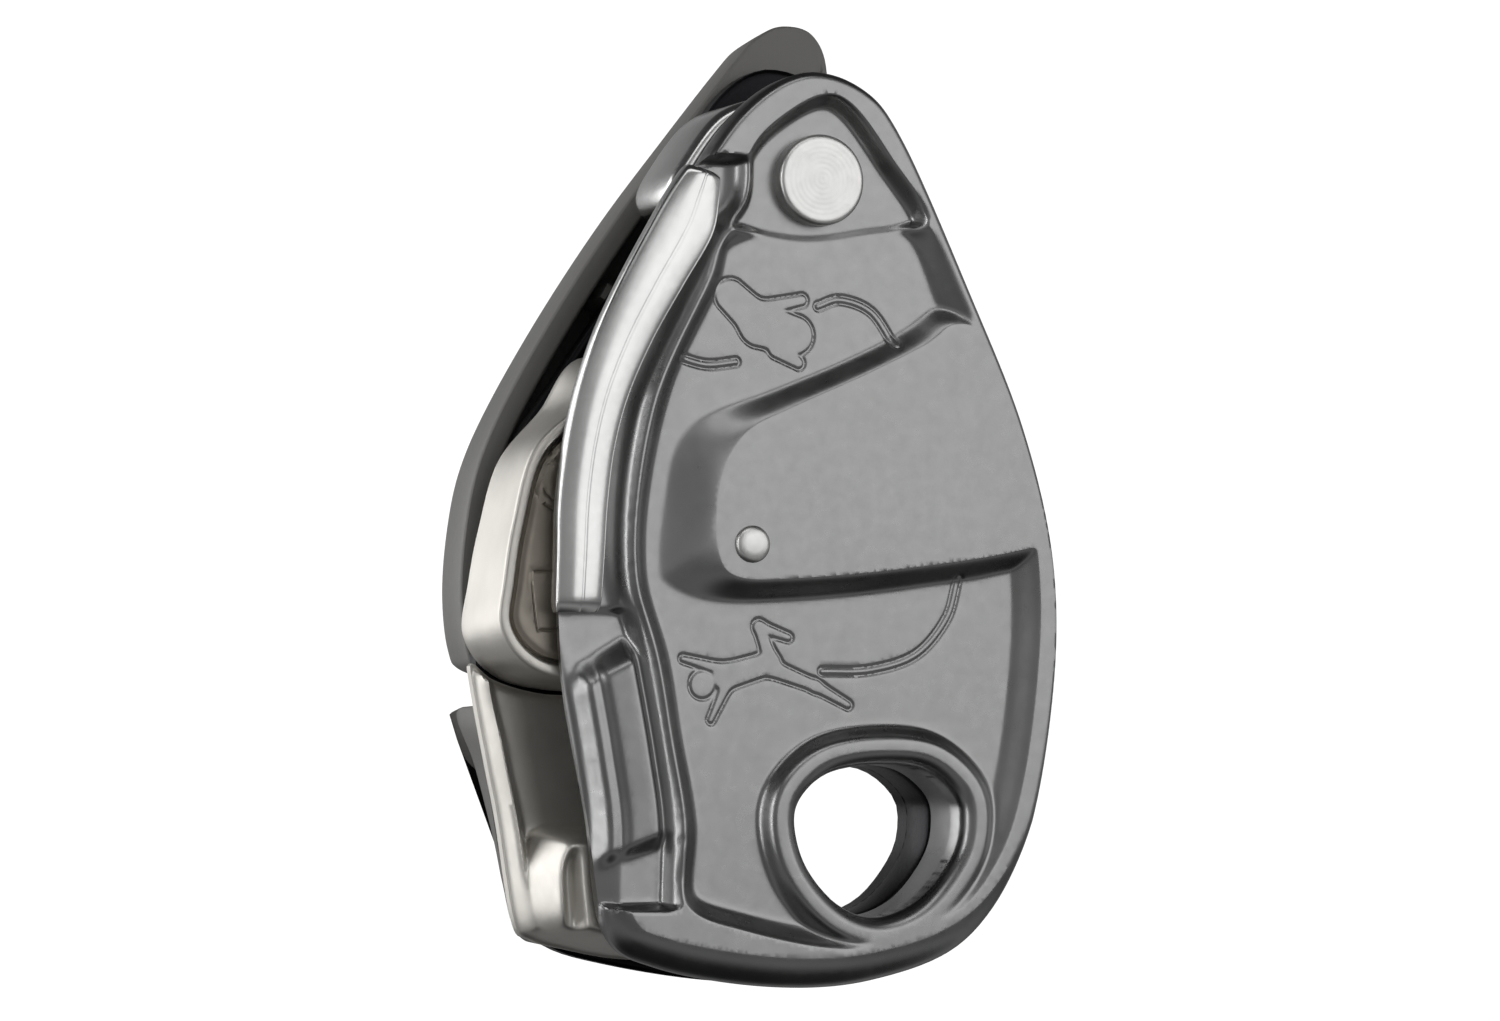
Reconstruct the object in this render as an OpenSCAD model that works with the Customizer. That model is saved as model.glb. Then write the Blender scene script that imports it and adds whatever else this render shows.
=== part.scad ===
// Assisted-braking belay device: two side plates with a pivoting cam between them.
// Frame: +X right, +Z up, front side plate towards -Y, origin at the middle of the carabiner eye.
// Every outline is a list of [x, z] points taken clockwise as seen from the front.

/* [Rope gap] */
// Clear width between the two side plates
rope_gap = 11.4; // [10.8:0.1:12]
// Thickness of the front side plate at its rim
gate_t = 3.8; // [3.4:0.1:4.4]
// Thickness of the rear side plate
fixed_t = 2.5; // [2:0.1:3]

/* [Pivots] */
// Radius of the shank that the front plate swings on
pivot_r = 3; // [2.5:0.1:3.5]
// Radius of the pivot rivet's front head
pivot_head_r = 4.75; // [4.4:0.05:5.2]
// Radius of the cam's axle
axle_r = 4; // [3.5:0.1:4.5]
// Radial running clearance in every bore
running = 0.05; // [0.02:0.01:0.1]

/* [Handle] */
// Depth of the moulded handle behind the rear plate
handle_depth = 11.3; // [9:0.1:13]
// Wall thickness of the mouldings
wall = 2.4; // [1.8:0.1:3]
// Radius of the mode knob
knob_r = 7.5; // [6.5:0.1:8]

/* [Quality] */
// Steps along each span of a smooth outline
steps = 4; // [3:1:6]

/* [Hidden] */
$fn = 48;

gate_in = -rope_gap / 2;
gate_out = gate_in - gate_t;
panel = gate_out + 1.8;
rivet_floor = gate_out + 2.5;
fixed_in = rope_gap / 2;
fixed_out = fixed_in + fixed_t;
back_in = fixed_out + 0.5;
back_out = back_in + handle_depth;
floor_in = back_out - wall;
cam_front = gate_in + 0.5;
cam_back = fixed_in - 0.3;
flange_y = fixed_in - 1.8;
collar_gap = 0.1;

pivot = [-6.8, 71.2];
axle = [-15.1, 31.7];
knob = [-16.5, 55.5];
pin_angle = -48;
pin_at = axle + 9 * [cos(pin_angle), sin(pin_angle)];
pin_r = 1.75;
cam_travel = 22;
pawl_at = axle + 17 * [cos(196), sin(196)];
pawl_arm = 8.12;
pawl_travel = 34;
clip_y = floor_in - 2.1;
clip_r = 3.2;
ball_at = knob + [5.5, 0];
rivets_at = [[-27.4, 6.2], [-25.8, -5.7]];
screws_at = [[-31.6, -6.4], [-33.6, 5.4]];
sweep_r = 28.9;

function on_circle(c, r, a) = c + r * [cos(a), sin(a)];

// The closed curve that runs smoothly through the points of c
function smooth(c, n = steps) = [
    for (i = [0:len(c) - 1]) for (j = [0:n - 1])
        let (t = j / n, m = len(c), a = c[(i + m - 1) % m], b = c[i], d = c[(i + 1) % m], e = c[(i + 2) % m])
            b + ((d - a) * t + (2 * a - 5 * b + 4 * d - e) * t * t + (3 * b - a - 3 * d + e) * t * t * t) / 2];

// The curve moved inwards: by f, or by f times each point's own third value
function inset(r, f) = [
    for (i = [0:len(r) - 1])
        let (m = len(r), a = r[(i + m - 1) % m], b = r[(i + 1) % m], v = [b[0] - a[0], b[1] - a[1]],
            w = len(r[i]) > 2 ? r[i][2] : 1)
            [r[i][0], r[i][1]] + f * w * [v[1], -v[0]] / norm(v)];

// Skin through closed curves that lie at the depths ys, front first
module loft(rings, ys) {
    n = len(rings[0]);
    m = len(rings);
    polyhedron(
        points = [for (k = [0:m - 1]) for (p = rings[k]) [p[0], ys[k], p[1]]],
        faces = concat(
            [[for (i = [0:n - 1]) i]],
            [for (k = [0:m - 2]) for (i = [0:n - 1])
                [k * n + i, (k + 1) * n + i, (k + 1) * n + (i + 1) % n, k * n + (i + 1) % n]],
            [[for (i = [n - 1:-1:0]) (m - 1) * n + i]]));
}

// A pressed or moulded form: one outline, with its inset at each depth
module form(c, levels, n = steps) {
    r = smooth(c, n);
    loft([for (l = levels) inset(r, l[1])], [for (l = levels) l[0]]);
}

// Joins sculpted forms into one continuous skin
module sculpted() {
    resize([0, 0, 0]) children();
}

// A cylinder along +Y from y0 to y1 at the plan position p
module rod(p, r, y0, y1) {
    translate([p[0], y0, p[1]]) rotate([-90, 0, 0]) cylinder(r = r, h = y1 - y0);
}

// A cone along +Y with the radius ra at y0 and rb at y1
module taper(p, ra, rb, y0, y1) {
    translate([p[0], y0, p[1]]) rotate([-90, 0, 0]) cylinder(r1 = ra, r2 = rb, h = y1 - y0);
}

// A wound torsion spring on the Y axis of p: turns of wire w from y0 to y1, then two straight legs
module wound_spring(p, r, w, y0, y1, turns, a0, leg) {
    n = 14;
    count = floor(turns * n);
    path = concat(
        [[r * cos(a0) + leg * sin(a0), y0, r * sin(a0) - leg * cos(a0)]],
        [for (i = [0:count]) let (a = a0 + i * 360 / n) [r * cos(a), y0 + (y1 - y0) * i / count, r * sin(a)]],
        [let (a = a0 + count * 360 / n) [r * cos(a) - leg * sin(a), y1, r * sin(a) + leg * cos(a)]]);
    sides = 6;
    rings = [for (i = [0:len(path) - 1])
        let (q = path[i], a = a0 + max(0, min(count, i - 1)) * 360 / n, u = [cos(a), 0, sin(a)])
            [for (s = [0:sides - 1]) q + w / 2 * (cos(s * 60) * u + sin(s * 60) * [0, 1, 0])]];
    m = len(rings);
    translate([p[0], 0, p[1]]) sculpted() polyhedron(
        points = [for (g = rings) for (q = g) q],
        faces = concat(
            [[for (s = [0:sides - 1]) s]],
            [for (k = [0:m - 2]) for (s = [0:sides - 1])
                [k * sides + s, (k + 1) * sides + s, (k + 1) * sides + (s + 1) % sides, k * sides + (s + 1) % sides]],
            [[for (s = [sides - 1:-1:0]) (m - 1) * sides + s]]));
}

// Outlines. The third value is the width of the bevel at that place.
gate_edge = [[-9, 82.7, 1], [-2, 81.4, 1], [3, 75.8, 1], [10.8, 59.9, 1], [17.4, 44.8, 1], [21, 30, 1],
    [20.8, 15, 1], [17.5, -0.8, 1.2], [11, -10.8, 2], [0, -15, 3.6], [-12, -15.6, 4.4], [-25, -13.4, 4.2],
    [-31, -9.5, 3], [-33, 2.8, 2], [-35.4, 15, 2], [-36.2, 24, 1.5], [-35.9, 36, 1], [-33.3, 47.5, 1],
    [-28.8, 58, 1], [-22.3, 69.5, 1], [-16, 78.3, 1]];
field = [[6, 67], [10.6, 59], [14.6, 50], [17.7, 40], [19.4, 30], [19.4, 20], [17.6, 7], [14.5, -2],
    [8.5, -8.5], [-3, -11.8], [-16, -9.8], [-23, -6.6], [-23.3, 2], [-25, 11], [-26.4, 19], [-29, 28],
    [-28.6, 38], [-25.8, 49.5], [-20.8, 59.6], [-18.4, 65.5], [-9, 68.4], [-1, 69]];
rivet_field = [[-18, 66.5], [-16, 72.6], [-13.2, 76.6], [-7.4, 80.3], [-3.4, 79.6], [1.3, 74], [5.8, 66.9],
    [-1.8, 64.7], [-8.7, 63.8], [-15.6, 64.8]];
plateau = [[9.2, 55.9, 3], [12.6, 51.6, 0], [16.4, 42, 0], [17.6, 34, 0], [14.1, 31.4, 2], [1.6, 29.3, 3],
    [-10.4, 28.2, 3], [-16.6, 28.5, 4], [-18.5, 31.9, 7.6], [-18, 38, 7.4], [-15.6, 43.4, 6],
    [-10.4, 46.3, 3.6], [-2.3, 49.9, 3.3], [5.6, 53.7, 3.3]];
eye = [[-9.6, 1.7], [-8.8, 4.7], [-5.5, 7.3], [0, 8.2], [5.5, 7.7], [9.2, 4.9], [9.9, 1.7], [8.8, -2],
    [5, -6.4], [0, -8.2], [-4.5, -6.8], [-8.2, -2.8]];
lip = [[-20.6, 73.4, 0.6], [-18.7, 71.4, 1], [-19, 66, 1], [-21.6, 60.8, 1], [-25.6, 54.8, 1], [-28.7, 48.5, 1],
    [-30.8, 41.3, 1], [-31.7, 33, 1], [-32.2, 26.2, 1], [-33.6, 24.3, 0.4], [-36, 24.2, 0.4], [-37.3, 26.2, 1],
    [-37.2, 31, 1], [-36.6, 39.5, 1], [-34.8, 48, 1], [-31.5, 56.8, 1], [-26.6, 66, 1], [-22.9, 71.4, 0.8]];
fixed_edge = [[-7, 85], [1, 82.5], [5, 75.8], [11.5, 60], [17.8, 45], [21, 30], [21, 15], [17.7, -0.8],
    [11, -11], [0, -15.2], [-12, -15.4], [-25, -13.5], [-33, -11], [-36.4, -6], [-38.6, 5], [-40.8, 18],
    [-40, 30], [-37, 41.5], [-30.6, 51.6], [-23.6, 61.5], [-17.6, 71], [-13.5, 80.5]];
spacer = [[-12, 80.5], [-7.5, 81], [-3, 78], [0, 72], [-2, 66.6], [-8, 64.6], [-15, 66], [-21, 67.3],
    [-22.8, 69.8], [-21, 73.5], [-17, 78.4]];
cam_rim = [[-33.2, 46.3], [-27, 50.6], [-16, 48.6], [-6, 43.2], [-1.4, 34], [-3.2, 24.4], [-12, 18], [-23, 16.6],
    [-34.6, 17.2], [-39.6, 19], [-42.2, 22.8], [-41.8, 27.6], [-40.8, 33.6], [-38.5, 41.4]];
cam_root = [[-34, 46.2], [-28.6, 52.4], [-16, 48.8], [-6, 43.4], [-1.2, 34], [-3, 24], [-12, 17.4], [-23, 16],
    [-34.6, 16.4], [-39.8, 18.2], [-42.6, 22.2], [-42, 27.6], [-40.8, 33.6], [-38.6, 40.8]];
flange = [[-42, 19.8], [-39.2, 16.8], [-33.6, 15], [-24, 14.4], [-17, 10], [-14.6, 2], [-14, -6],
    [-17, -12.4], [-24.3, -12.8], [-31.3, -11.6], [-35, -10.6], [-36.9, -8.6], [-38.8, 2.3], [-40.2, 9],
    [-41.7, 16.6]];
flange_floor = [[-40.4, 19], [-32, 20], [-22, 19], [-11, 13], [-10, 2], [-11, -7], [-20, -8.8],
    [-30.4, -8.8], [-35, -8], [-37.4, 2.6], [-39.1, 10]];
bridge = [[-36.8, -4], [-36.2, -0.4], [-34.8, 1.4], [-31, 1.6], [-24, 0.9], [-17.4, -2], [-15.2, -7],
    [-18, -11.8], [-25, -12.3], [-31.4, -11.2], [-35.6, -9.4]];
bridge_pocket = [[-30.4, -5], [-29.2, -1.8], [-25.6, -2], [-20.4, -4.4], [-18.6, -7.2], [-20.6, -9.2], [-26, -9.6],
    [-29.6, -8.4]];
bridge_groove = [[-34.9, -4.4], [-34.2, -1.9], [-33.2, -2.1], [-32.7, -5], [-32.4, -8.2], [-33.2, -9.2], [-34.2, -8.4]];
grip_edge = concat(
    [[-1.4, 91.4], [2.6, 90.2], [4.4, 85.6], [2.6, 76], [-1, 64], [1.5, 52]],
    [for (a = [40:-32:-120]) on_circle(axle, 17.4, a)],
    [[-32, 16.6], [-39, 17.9], [-40.9, 20.6], [-41.6, 27], [-41, 34.4], [-39.5, 41], [-36.2, 48.2],
        [-30.2, 58.3], [-23.2, 68.6], [-16, 77.9], [-8.8, 86.7], [-5.2, 90.3]]);
cover_edge = concat(
    [for (a = [208.5:10.375:250]) concat(on_circle(axle, sweep_r, a), [0.3])],
    [[-23, -2, 1], [-26.6, -9.6, 1], [-30.2, -11.6, 1], [-32.8, -10, 1], [-34.2, -5, 1], [-35.2, 0, 1],
        [-37.2, 7, 0.9], [-39.2, 12.8, 0.6], [-40.5, 17, 0.4]]);

module fixed_side_plate() {
    color("#1c1c1e") difference() {
        sculpted() difference() {
            union() {
                form(fixed_edge, [[fixed_in, 0.3], [fixed_in + 0.3, 0], [fixed_out - 0.5, 0], [fixed_out, 0.5]]);
                form(eye, [[collar_gap, -1.9], [1, -2.3], [fixed_out - 0.2, -2.5], [fixed_out + 0.4, -1.9]]);
            }
            form(eye, [[-1, -1], [collar_gap + 0.6, -0.2], [2, 0], [fixed_out - 0.8, 0], [fixed_out + 1, -1.6]]);
        }
        rod(pivot, pivot_r, 0, 12);
        rod(axle, axle_r, 0, 12);
        for (p = rivets_at) rod(p, 2.5, 0, 12);
        for (p = screws_at) rod(p, 1.25, 0, 12);
        pin_window();
    }
}

// Arc window that the cam's drive pin passes through
module pin_window() {
    margin = 14;
    translate([axle[0], 12, axle[1]]) rotate([90, 0, 0]) rotate([0, 0, pin_angle - cam_travel - margin])
        rotate_extrude(angle = cam_travel + 2 * margin) translate([9 - pin_r - 0.4, 0])
            square([2 * pin_r + 0.8, 12]);
}

module friction_plate() {
    color("#b4b0aa") difference() {
        sculpted() difference() {
            union() {
                difference() {
                    form(flange, [[flange_y - 2.2, 1.2], [flange_y - 1.7, 0.5], [flange_y - 0.6, 0.15], [fixed_in, 0]]);
                    form(flange_floor, [[flange_y - 3, -1], [flange_y - 0.4, 0.4], [flange_y, 1.1]]);
                }
                form(bridge, [[gate_in + 0.7, 1.1], [gate_in + 1.1, 0.5], [gate_in + 2, 0.15], [fixed_in, 0]]);
            }
            form(bridge_pocket, [[gate_in, 0], [flange_y - 1, 0.6]]);
            form(bridge_groove, [[gate_in, 0], [gate_in + 2.6, 0.5]]);
        }
        for (p = rivets_at) rod(p, 2.5, -6, 9);
        for (p = screws_at) rod(p, 1.25, fixed_in - 0.6, 9);
    }
}

module friction_rivets() {
    color("#26262a") for (p = rivets_at) {
        rod(p, 2.5, flange_y - 0.35, fixed_out);
        rod(p, 3.2, fixed_out, fixed_out + 0.45);
    }
}

module pivot_spacer() {
    color("#c9c9cc") difference() {
        form(spacer, [[gate_in + 0.6, 0.9], [gate_in + 0.9, 0.3], [gate_in + 1.8, 0], [fixed_in - 1, 0], [fixed_in, 0.5]]);
        rod(pivot, pivot_r, -8, 8);
    }
}

module pivot_washer() {
    color("#b9bbc0") difference() {
        rod(pivot, 6.4, gate_in + 0.02, gate_in + 0.6);
        rod(pivot, pivot_r, -8, 8);
    }
}

// Headed shank with a chamfered front head, riveted over behind the rear plate
module plate_pivot_rivet() {
    color("#5d5d60") {
        taper(pivot, pivot_head_r - 0.6, pivot_head_r, rivet_floor - 1.95, rivet_floor - 1.35);
        rod(pivot, pivot_head_r, rivet_floor - 1.35, rivet_floor - 0.05);
        rod(pivot, pivot_r, rivet_floor - 0.05, fixed_out);
        taper(pivot, 4.6, 4.1, fixed_out, fixed_out + 0.4);
    }
}

module cam_axle() {
    color("#8f9094") {
        taper(axle, axle_r - 0.4, axle_r, cam_front + 2.4, cam_front + 2.8);
        rod(axle, axle_r, cam_front + 2.8, fixed_out);
        rod(axle, axle_r + 1.6, fixed_out, fixed_out + 0.45);
        rod(axle, axle_r, fixed_out + 0.45, floor_in - 1.9);
        rod(axle, axle_r - 0.9, floor_in - 1.9, floor_in - 0.9);
        rod(axle, axle_r, floor_in - 0.9, floor_in - 0.2);
    }
}

// Split ring in the axle's groove that keeps the handle on
module axle_ring() {
    color("#6a6b70") difference() {
        rod(axle, axle_r + 2, floor_in - 1.8, floor_in - 1);
        rod(axle, axle_r - 0.9, floor_in - 3, floor_in);
        translate([axle[0], floor_in - 3, axle[1] - 1]) cube([8, 4, 2]);
    }
}

// Moulded shell that closes the lower part of the rear plate
module back_cover() {
    color("#4b4a46") difference() {
        sculpted() difference() {
            form(cover_edge, [[fixed_out + 0.02, 0.2], [fixed_out + 0.4, 0], [back_out - 3.6, 0.5],
                [back_out - 1.4, 1.2], [back_out - 0.4, 2.2]]);
            form([[-32.6, 8.6], [-26.4, 5], [-25.2, -1.4], [-27.8, -7.8], [-31.2, -9], [-33, -4], [-34.4, 2]],
                [[fixed_out - 1, 0], [floor_in - 2, 0.4]]);
            for (p = rivets_at) rod(p, 3.5, fixed_out - 1, fixed_out + 0.7);
        }
        for (p = screws_at) rod(p, 1.25, 0, 30);
    }
    color("#4b4a46") for (p = screws_at) difference() {
        rod(p, 2.6, fixed_out + 0.02, floor_in - 2);
        rod(p, 1.25, 0, 30);
    }
}

module cover_screws() {
    color("#3a3a3c") for (p = screws_at) difference() {
        union() {
            rod(p, 1.25, fixed_in - 0.6, back_out - 0.6);
            taper(p, 2.3, 2.1, back_out - 0.4, back_out + 0.6);
            rod(p, 1.25, back_out - 0.6, back_out - 0.3);
        }
        rod(p, 0.95, back_out - 0.4, back_out + 1, $fn = 6);
    }
}

module handle_return_spring() {
    color("#9a9ca0") wound_spring(axle, 6.4, 0.8, back_in + 0.8, back_in + 3.2, 3.4, 200, 2);
}

// Front side plate: rim, two recessed panels, plateau over the cam and collar round the eye
module moving_side_plate() {
    color("#5a5a5c") difference() {
        sculpted() difference() {
            union() {
                difference() {
                    form(gate_edge, [[gate_out, 1], [gate_out + 0.5, 0.55], [gate_out + 1.6, 0.15],
                        [gate_in - 0.5, 0], [gate_in, 0.15]]);
                    form(field, [[gate_out - 1, -0.6], [gate_out, 0.1], [panel - 0.5, 2], [panel, 3]]);
                    form(rivet_field, [[gate_out - 1, -0.3], [gate_out, 0], [rivet_floor, 1.5]]);
                    lip_body(gate_out - 1);
                }
                translate([1.5, 0, -0.4]) intersection() {
                    lip_body();
                    translate([-60, gate_out + 2.6, 0]) cube([60, 10, 90]);
                }
                form(plateau, [[gate_out, 0], [gate_out + 0.5, -0.14], [panel - 0.4, -0.8], [panel + 0.2, -1.1]]);
                form(eye, [[gate_out - 0.02, -1.9], [gate_out + 0.37, -2.5], [panel + 0.3, -3.5], [gate_in, -3.2],
                    [-1, -2.3], [-collar_gap, -1.9]]);
                shoulder();
            }
            form(eye, [[gate_out - 1, -1.6], [gate_out + 0.8, 0], [-2, 0], [-collar_gap - 0.6, -0.2], [1, -1]]);
            slot();
        }
        rod(pivot, pivot_r + running, -12, 0);
        rod(axle, 2, -12, 0);
    }
}

// Raised strip that stiffens the edge beside the climber's strand
module shoulder() {
    strip = [[-31.4, 20.4], [-29, 20.4], [-27.3, 17.4], [-26, 10], [-24.3, 1.4], [-25.2, -0.6], [-28, 0.4],
        [-29.9, 3], [-31, 10]];
    form(strip, [[gate_out + 0.15, 1], [gate_out + 0.6, 0.4], [gate_out + 1.8, 0]]);
}

module slot() {
    cut = [[-25.4, -1.6], [-23.9, 0], [-23.5, -2.6], [-24.4, -5], [-25.5, -4.4]];
    form(cut, [[gate_out - 1, 0], [gate_in - 1.6, 0]]);
}

// Outer form of the steel strip on the edge where the braking rope bends
module lip_body(front = gate_out + 0.15) {
    form(lip, [[front, 2], [gate_out + 0.3, 1.2], [gate_out + 0.9, 0.4], [gate_out + 1.5, 0],
        [gate_out + 2.1, 0], [gate_out + 2.4, 0.7], [gate_in - 0.3, 0.7], [gate_in - 0.05, 1]], n = 3);
}

module wear_lip() {
    color("#d6d7d9") sculpted() difference() {
        lip_body();
        translate([1.5, 0, -0.4]) intersection() {
            lip_body();
            translate([-60, gate_out + 2.6, 0]) cube([60, 10, 90]);
        }
    }
}

// Domed stud at the middle of the plateau
module cam_stud() {
    color("#6f6f72") {
        rod(axle, 2, gate_out - 0.1, gate_in);
        taper(axle, 1.2, 2, gate_out - 0.6, gate_out - 0.1);
    }
}

// Cast cam with the rope groove round its right side and a recess for its cover
module cam() {
    rim = smooth(cam_rim);
    root = smooth(cam_root);
    mid = (rim + root) / 2;
    color("#bdb9b2") difference() {
        sculpted() difference() {
            loft([inset(rim, 0.7), inset(rim, 0.15), rim, mid, root, root],
                [cam_front, cam_front + 0.4, cam_front + 1.4, cam_front + 5, cam_back - 1, cam_back]);
            loft([inset(rim, 1.25), inset(rim, 1.75)], [cam_front - 1, cam_front + 2.4]);
            translate([-14, 0, 33]) rotate([-90, 0, 0])
                rotate_extrude() translate([18.6, 0]) scale([0.75, 1]) circle(r = 4.6, $fn = 20);
            translate([axle[0], 0, axle[1]]) rotate([-90, 0, 0]) rotate_extrude()
                translate([5.7, cam_back - 2.4]) square([1.4, 4]);
        }
        rod(axle, axle_r + 1.2, -8, 8);
        rod(pin_at, pin_r, cam_back - 1.6, 9);
    }
}

module cam_cover() {
    color("#8b8176") difference() {
        sculpted() loft([inset(smooth(cam_rim), 2.25), inset(smooth(cam_rim), 1.9)],
            [cam_front + 0.7, cam_front + 2.4]);
        rod(axle, axle_r + 1.2, -8, 8);
    }
}

module cam_bushing() {
    color("#a5854f") difference() {
        rod(axle, axle_r + 1.2, cam_front + 1, cam_back);
        rod(axle, axle_r + running, -8, 8);
    }
}

// Pin on the cam that the handle's pawl pushes
module cam_drive_pin() {
    color("#8f9094") {
        rod(pin_at, pin_r, cam_back - 1.6, back_in + 2.4);
        taper(pin_at, pin_r, pin_r - 0.4, back_in + 2.4, back_in + 2.8);
    }
}

module cam_return_spring() {
    color("#9a9ca0") wound_spring(axle, 6.3, 0.7, cam_back - 1.9, cam_back - 0.5, 1.8, 90, 1);
}

// Moulded lever: thin shell on ribs round a hub, with a tab at its tip
module handle() {
    color("#4b4a46") difference() {
        sculpted() {
            difference() {
                form(grip_edge, [[back_in, 0.35], [back_in + 0.5, 0], [back_out - 4, 0.6], [back_out - 1.6, 1.5],
                    [back_out - 0.5, 2.8], [back_out, 4.6]]);
                form(grip_edge, [[back_in - 1, wall], [floor_in, wall + 0.9]]);
            }
            intersection() {
                form(grip_edge, [[back_in, 1], [floor_in + 0.4, 1.6]]);
                ribs();
            }
        }
        rod(axle, 12.2, back_in - 1, back_in + 3.8);
        rod(axle, axle_r + 2.4, floor_in - 2, floor_in + 0.2);
        rod(axle, axle_r + 1.2, back_in - 1, floor_in);
        rod(knob, 4 + running, back_in, back_out + 1);
        rod(knob, 6.2, back_in, floor_in - 1);
        rod(ball_at, 1.05, back_out - 2, back_out + 1);
        rod(pawl_at, 1.5, back_in + 1, floor_in - 1);
        pawl_pocket();
    }
}

module ribs() {
    rod(axle, 15.2, back_in + 0.6, floor_in + 0.4);
    rod(knob, 7.2, floor_in - 1, floor_in + 0.4);
    rod(pawl_at, 3.4, back_in + 3.8, floor_in + 0.4);
    translate([axle[0] - 27, back_in, axle[1] - 1.4]) cube([15, floor_in - back_in, 5.6]);
    for (k = [0:2])
        translate([-34 + 9 * k, back_in + 1.2, 47 + 12.5 * k]) rotate([0, 34, 0]) cube([22, floor_in - back_in, 1.8]);
}

// Space for the pawl and its spring beside the hub
module pawl_pocket() {
    hull() {
        rod(pawl_at, 3.6, back_in - 1, back_in + 3.8);
        for (a = [0, -pawl_travel]) rod(on_circle(pawl_at, pawl_arm, a + 1), 2.2, back_in - 1, back_in + 3.8);
    }
}

module handle_bushing() {
    color("#a5854f") difference() {
        rod(axle, axle_r + 1.2, fixed_out + 0.6, floor_in - 2);
        rod(axle, axle_r + running, 0, 30);
    }
}

module pawl_pin() {
    color("#8f9094") rod(pawl_at, 1.5, back_in + 0.3, floor_in - 1);
}

// Sprung pawl: pushes the cam's pin, and rides out over it when the handle is pulled too far
module drive_pawl() {
    nose = on_circle(pawl_at, pawl_arm, 1);
    color("#8f9094") difference() {
        hull() {
            rod(pawl_at, 3, back_in + 0.5, back_in + 2.6, $fn = 32);
            rod(nose, 1.4, back_in + 0.5, back_in + 2.6, $fn = 32);
        }
        rod(pawl_at, 1.5 + running, 0, 30);
    }
}

module pawl_spring() {
    color("#9a9ca0") wound_spring(pawl_at, 2.1, 0.4, back_in + 2.95, back_in + 3.55, 1.4, 30, 1.6);
}

// Round selector with a grip bar and a scalloped rim
module mode_knob() {
    color("#2a2a2c") difference() {
        union() {
            rod(knob, knob_r, back_out + 0.1, back_out + 2);
            taper(knob, knob_r, knob_r - 0.8, back_out + 2, back_out + 2.6);
            rod(knob, 4, clip_y - 0.9, back_out + 0.1);
            translate([knob[0] - 1.6, back_out + 2, knob[1] - knob_r + 1.4]) cube([3.2, 2.2, 2 * knob_r - 2.8]);
        }
        for (a = [0:24:359]) rod(on_circle(knob, knob_r + 0.7, a), 1.2, back_out - 1, back_out + 5);
        difference() {
            rod(knob, 4.2, clip_y - 0.1, clip_y + 1.1);
            rod(knob, clip_r, clip_y - 0.2, clip_y + 1.2);
        }
        translate([knob[0], back_out + 0.1, knob[1]]) rotate([-90, 0, 0]) rotate_extrude()
            translate([5.5, 0]) circle(r = 0.8);
    }
}

module knob_clip() {
    color("#6a6b70") difference() {
        rod(knob, 5.8, clip_y, clip_y + 1);
        rod(knob, clip_r + running, 0, 30);
    }
}

module knob_ball() {
    color("#c9c9cc") translate([ball_at[0], back_out - 0.9, ball_at[1]]) sphere(r = 1);
}

fixed_side_plate();
friction_plate();
friction_rivets();
pivot_spacer();
pivot_washer();
plate_pivot_rivet();
cam_axle();
axle_ring();
back_cover();
cover_screws();
handle_return_spring();
moving_side_plate();
wear_lip();
cam_stud();
cam();
cam_cover();
cam_bushing();
cam_drive_pin();
cam_return_spring();
handle();
handle_bushing();
pawl_pin();
drive_pawl();
pawl_spring();
mode_knob();
knob_clip();
knob_ball();
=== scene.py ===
import math

import bmesh
import bpy
import numpy as np
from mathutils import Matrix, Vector
from mathutils.geometry import delaunay_2d_cdt


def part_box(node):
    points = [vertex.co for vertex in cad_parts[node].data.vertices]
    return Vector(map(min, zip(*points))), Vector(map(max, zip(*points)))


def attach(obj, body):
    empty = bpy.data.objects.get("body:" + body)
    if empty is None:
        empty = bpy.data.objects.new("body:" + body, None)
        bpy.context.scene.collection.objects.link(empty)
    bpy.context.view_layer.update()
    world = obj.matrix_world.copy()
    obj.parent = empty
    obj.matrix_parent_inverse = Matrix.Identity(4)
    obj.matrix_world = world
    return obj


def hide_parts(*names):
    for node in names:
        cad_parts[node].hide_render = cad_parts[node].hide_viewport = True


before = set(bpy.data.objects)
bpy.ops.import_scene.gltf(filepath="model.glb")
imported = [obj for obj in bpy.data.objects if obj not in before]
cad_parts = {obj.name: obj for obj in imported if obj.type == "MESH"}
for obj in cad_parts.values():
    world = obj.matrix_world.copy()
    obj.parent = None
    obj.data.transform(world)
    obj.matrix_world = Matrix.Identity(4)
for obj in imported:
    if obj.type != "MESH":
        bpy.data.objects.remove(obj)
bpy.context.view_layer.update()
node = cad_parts
MM = 0.001

# Front side plate. Forged aluminium, about 4 mm thick at its rim, with recessed panels and a collar round
# the eye. It is bead-blasted and anodised grey, so flat faces look even and every pressed edge is soft.
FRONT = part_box("moving_side_plate")[0].y / MM
INNER = -5.7
PANEL = FRONT + 1.8
RIVET_FLOOR = FRONT + 2.5
PLATEAU_RISE = PANEL + 0.3 - FRONT
PIVOT = (-6.8, 71.2)
AXLE = (-15.1, 31.7)
MARK_DEPTH, MARK_WIDTH = 0.13, 0.19


def closed(points, spans=10):
    """A smooth closed curve through the points, in millimetres."""
    b = np.array(points, float)
    a, d, e = np.roll(b, 1, 0), np.roll(b, -1, 0), np.roll(b, -2, 0)
    t = (np.arange(spans) / spans)[None, :, None]
    a, b, d, e = (v[:, None, :] for v in (a, b, d, e))
    curve = b + ((d - a) * t + (2 * a - 5 * b + 4 * d - e) * t**2 + (3 * b - a - 3 * d + e) * t**3) / 2
    return curve.reshape(-1, b.shape[-1])


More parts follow.
